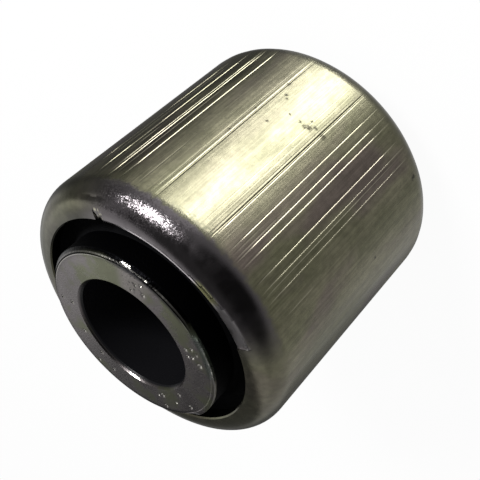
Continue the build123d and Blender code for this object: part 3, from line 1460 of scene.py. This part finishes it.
    def swollen_at(self, spot: Spot) -> float:
        """Return how far the upper rim is swollen where it was left with a burr, in metres and below zero."""
        share = spot.angle_to(self.SWOLLEN_START) / (self.SWOLLEN_START - self.SWOLLEN_STOP)
        out = (spot.radius - self.outer_radius + self.SWOLLEN_WIDTH) / self.SWOLLEN_WIDTH
        if not 0.0 < share < 1.0 or out < 0.0 or spot.height < self.half_length - self.rim_chamfer - HAIR:
            return 0.0
        rise = math.sin(math.pi * share) * out
        lumps = 1.0 + self.SWOLLEN_UNEVEN * spot.unevenness(self.LUMP_SIZE, self.LUMP_SEED)
        return -self.SWOLLEN_HEIGHT * rise * lumps

    def build(self) -> bpy.types.Object:
        """Model the sleeve."""
        sleeve = turned_ring("chamfered_inner_sleeve", self.section(), self.segments)
        # Fresh metal in the pits, painted bright also to stand for their glints.
        paint_points(sleeve, "nicked", lambda spot: self.pit_at(spot) / self.NICKED_DEPTH)
        push_points(sleeve, Push.DOWN_THE_AXIS, self.pit_at)
        push_points(sleeve, Push.DOWN_THE_AXIS, self.flush_at)
        push_points(sleeve, Push.INTO_SURFACE, self.swollen_at)
        smooth_by_angle(sleeve, self.SHARP)
        return sleeve

    def dress(self, sleeve: bpy.types.Object) -> None:
        """Give the sleeve its finish and its place in the bush."""
        fasten(sleeve, "inner_sleeve", self.finish.material())


@dataclass
class RubberBody:
    """Rubber moulded between the sleeves, with an open groove at each end.

    Args:
        inner_radius: radius of the inner sleeve that it is bonded to.
        sleeve: outer sleeve that it fills, up to the underside of the rolled lips.
        groove_depth: depth of the groove below the lip's underside.
        climb: how far the bonded edge stands above the edge under the lip.
        segments: straight parts round the axis.
        finish: surface of the rubber.
    """

    inner_radius: float
    sleeve: OuterSleeve
    groove_depth: float = 1.7 * MM
    climb: float = 0.6 * MM
    segments: int = 192
    finish: MouldedRubber = field(default_factory=MouldedRubber)

    GROOVE_PARTS = 12
    GROOVE_FULLNESS = 0.8
    CORNER_PARTS = 6
    SHARP = 40.0

    def section(self) -> list[Corner]:
        """Return the closed section, from the outside wall round to the bonded wall."""
        sleeve = self.sleeve
        lip_radius, underside = sleeve.lip_radius, sleeve.lip_height - sleeve.wall
        groove = []
        for step in range(self.GROOVE_PARTS + 1):
            share = step / self.GROOVE_PARTS
            radius = lip_radius + (self.inner_radius - lip_radius) * share
            dip = self.groove_depth * math.sin(math.pi * share) ** self.GROOVE_FULLNESS
            groove.append(Corner(radius, underside + self.climb * share - dip))
        corner = arc_corners(sleeve.roll_centre, sleeve.roll_inner_radius, 0, 90, self.CORNER_PARTS)
        upper = [*corner, *groove]
        lower = [corner.mirrored() for corner in reversed(upper)]
        return [*upper, *lower]

    def build(self) -> bpy.types.Object:
        """Model the rubber."""
        rubber = turned_ring("moulded_rubber_body", self.section(), self.segments)
        smooth_by_angle(rubber, self.SHARP)
        return rubber

    def dress(self, rubber: bpy.types.Object) -> None:
        """Give the rubber its finish and its place in the bush."""
        fasten(rubber, "rubber_body", self.finish.material())


# --- Stage ------------------------------------------------------------------------------------


@dataclass(frozen=True)
class Lamp:
    """One soft area lamp that points at the bush.

    Args:
        name: name of the lamp.
        angle: place round the axis in degrees.
        elevation: height above the bush's middle plane in degrees.
        distance: distance from the bush in metres.
        width: width in metres.
        length: length in metres.
        power: power in watts.
    """

    name: str
    angle: float
    elevation: float
    distance: float
    width: float
    length: float
    power: float

    def hang(self) -> bpy.types.Object:
        """Make the lamp."""
        light = bpy.data.lights.new(self.name, "AREA")
        light.shape = "RECTANGLE"
        light.size = self.width
        light.size_y = self.length
        light.energy = self.power
        lamp = bpy.data.objects.new(self.name, light)
        towards = around(self.angle, self.elevation)
        lamp.location = towards * self.distance
        lamp.rotation_euler = towards.to_track_quat("Z", "Y").to_euler()
        lamp.visible_camera = False
        bpy.context.collection.objects.link(lamp)
        return lamp


@dataclass(frozen=True)
class RoomPatch:
    """One soft round patch of the room that the metal mirrors.

    Args:
        angle: middle of the patch round the axis in degrees.
        elevation: its elevation in degrees.
        inner: radius of its even part in degrees.
        outer: radius where it has faded out.
        level: brightness of the patch, where 1 is white.
    """

    angle: float
    elevation: float
    inner: float
    outer: float
    level: float


@dataclass
class Studio:
    """Pale floor, pale room, soft lamps and the camera.

    Args:
        floor_height: height of the surface that the bush stands on.
        top_height: height of the bush's upper end face.
        outer_radius: radius of the bush, which the camera's place is measured in.
        floor_size: width of the floor in metres.
        floor_colour: paint of the floor.
        floor_glow: share of plain white that the background rays see on the floor.
        lens: focal length in millimetres.
        camera_place: place of the camera from the middle of the upper end face, in radii of the bush.
        camera_right: direction that lies to the right in the picture.
        camera_back: direction from the bush to the camera.
        lamps: soft lamps.
        room_light: strength of the room as a light.
        room_level: brightness of the room that the metal mirrors, away from its patches.
        room: patches of that room, each laid over the ones before.
    """

    floor_height: float
    top_height: float
    outer_radius: float
    floor_size: float = 3.0
    floor_colour: str = "#f2f2f2"
    floor_glow: float = 0.95
    lens: float = 66.53
    camera_place: tuple[float, float, float] = (-0.0453, -5.0766, 2.3861)
    camera_right: tuple[float, float, float] = (-0.6945, -0.4076, -0.5929)
    camera_back: tuple[float, float, float] = (0.0, -0.8241, 0.5665)
    lamps: tuple[Lamp, ...] = (
        Lamp("long_window", angle=-55.5, elevation=-38, distance=0.45, width=0.26, length=0.28, power=1.8),
        Lamp("high_lamp", angle=-34, elevation=36, distance=0.6, width=0.21, length=0.22, power=3.8),
    )
    room_light: float = 0.5
    room_level: float = 0.5
    room: tuple[RoomPatch, ...] = (
        RoomPatch(0, 90, 25, 42, 0.13),
        RoomPatch(-125, 40, 25, 55, 0.03),
        RoomPatch(20, 8, 14, 34, 0.2),
        RoomPatch(72, -32, 12, 30, 0.25),
        RoomPatch(160, -5, 15, 36, 0.68),
        RoomPatch(158, -36, 14, 32, 0.66),
        RoomPatch(114, -24, 12, 30, 0.12),
        RoomPatch(140, 34, 10, 24, 0.8),
        RoomPatch(108, 20, 16, 28, 0.13),
        RoomPatch(58, 0, 8, 18, 0.6),
        RoomPatch(64, 33, 16, 25, 1.1),
        RoomPatch(79, 34, 6, 13, 1.4),
        RoomPatch(-56, -38, 22, 42, 1.1),
        RoomPatch(-34, -34, 12, 28, 1.4),
        RoomPatch(34, -30, 16, 34, 0.1),
        RoomPatch(-50, -6, 8, 26, 1.4),
    )

    def lay_floor(self) -> None:
        """Lay the pale floor, which shows white and keeps the bush's shadow."""
        deselect_all()
        bpy.ops.mesh.primitive_plane_add(size=self.floor_size)
        floor = bpy.context.object
        floor.name = "floor"
        with edit_mode(floor):
            bpy.ops.transform.translate(value=(0, 0, self.floor_height))
        material, tree = new_material("pale_floor")
        paint = add_node(tree, "ShaderNodeBsdfDiffuse", {"Color": linear(self.floor_colour)}).outputs[0]
        glow = add_node(tree, "ShaderNodeEmission", {"Color": linear(WHITE), "Strength": 1.0}).outputs[0]
        lifted = self.background_rays(tree) * self.floor_glow
        mixed = add_node(tree, "ShaderNodeMixShader", {0: lifted, 1: paint, 2: glow}).outputs[0]
        add_node(tree, "ShaderNodeOutputMaterial", {0: mixed})
        floor.data.materials.append(material)
        floor.visible_shadow = False
        floor.visible_glossy = False

    @staticmethod
    def background_rays(tree: bpy.types.NodeTree) -> Amount:
        """Return 1 for rays that show the background: camera, glossy and transmission rays."""
        path = add_node(tree, "ShaderNodeLightPath").outputs
        both = Amount(tree, path["Is Camera Ray"]) + path["Is Glossy Ray"]
        return both.joined("ADD", path["Is Transmission Ray"], clamp=True)

    def room_brightness(self, tree: bpy.types.NodeTree) -> Amount:
        """Return the room's brightness in the direction of a ray, which is white to the camera itself."""
        towards = add_node(tree, "ShaderNodeTexCoord").outputs["Generated"]
        level = self.room_level
        for patch in self.room:
            inputs = {0: towards, 1: around(patch.angle, patch.elevation)}
            facing = add_node(tree, "ShaderNodeVectorMath", inputs, operation="DOT_PRODUCT")
            outer, inner = math.cos(math.radians(patch.outer)), math.cos(math.radians(patch.inner))
            share = Amount(tree, facing.outputs["Value"]).ramp(outer, inner)
            level = add_node(tree, "ShaderNodeMix", {0: share, 2: level, 3: patch.level}).outputs[0]
        return Amount(tree, level).highest(add_node(tree, "ShaderNodeLightPath").outputs["Is Camera Ray"])

    def light_surroundings(self) -> None:
        """Make the room, which is white to the camera, graded to the metal and plain grey as a light."""
        world = bpy.data.worlds.new("surroundings")
        bpy.context.scene.world = world
        world.use_nodes = True
        tree = world.node_tree
        tree.nodes.clear()
        inputs = {"Color": linear(WHITE), "Strength": self.room_light}
        soft = add_node(tree, "ShaderNodeBackground", inputs).outputs[0]
        inputs = {"Color": self.room_brightness(tree), "Strength": 1.0}
        shown = add_node(tree, "ShaderNodeBackground", inputs).outputs[0]
        inputs = {0: self.background_rays(tree), 1: soft, 2: shown}
        mixed = add_node(tree, "ShaderNodeMixShader", inputs).outputs[0]
        add_node(tree, "ShaderNodeOutputWorld", {0: mixed})

    def place_camera(self) -> None:
        """Place the camera, which looks at the upper end from the side and is turned about its own view."""
        data = bpy.data.cameras.new("camera")
        data.lens = self.lens
        camera = bpy.data.objects.new("camera", data)
        right, back = Vector(self.camera_right).normalized(), Vector(self.camera_back).normalized()
        up = back.cross(right).normalized()
        right = up.cross(back)
        turn = Matrix((right, up, back)).transposed()
        place = Vector(self.camera_place) * self.outer_radius + Vector((0, 0, self.top_height))
        camera.matrix_world = Matrix.Translation(place) @ turn.to_4x4()
        bpy.context.collection.objects.link(camera)
        bpy.context.scene.camera = camera

    def build(self) -> None:
        """Set up the whole stage."""
        bpy.context.scene.view_settings.view_transform = "Standard"
        self.lay_floor()
        self.light_surroundings()
        for lamp in self.lamps:
            lamp.hang()
        self.place_camera()


def main() -> None:
    """Build every piece of the bush, then its stage."""
    outer_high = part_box("outer_sleeve")[1]
    inner_low, inner_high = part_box("inner_sleeve")
    outer = OuterSleeve(outer_radius=outer_high.x, lip_height=outer_high.z, face_height=inner_high.z)
    inner = InnerSleeve(outer_radius=inner_high.x, half_length=inner_high.z)
    rubber = RubberBody(inner_radius=inner.outer_radius, sleeve=outer)
    for part in (outer, inner, rubber):
        part.dress(part.build())
    Studio(floor_height=inner_low.z, top_height=inner_high.z, outer_radius=outer.outer_radius).build()


if __name__ == "__main__":
    main()
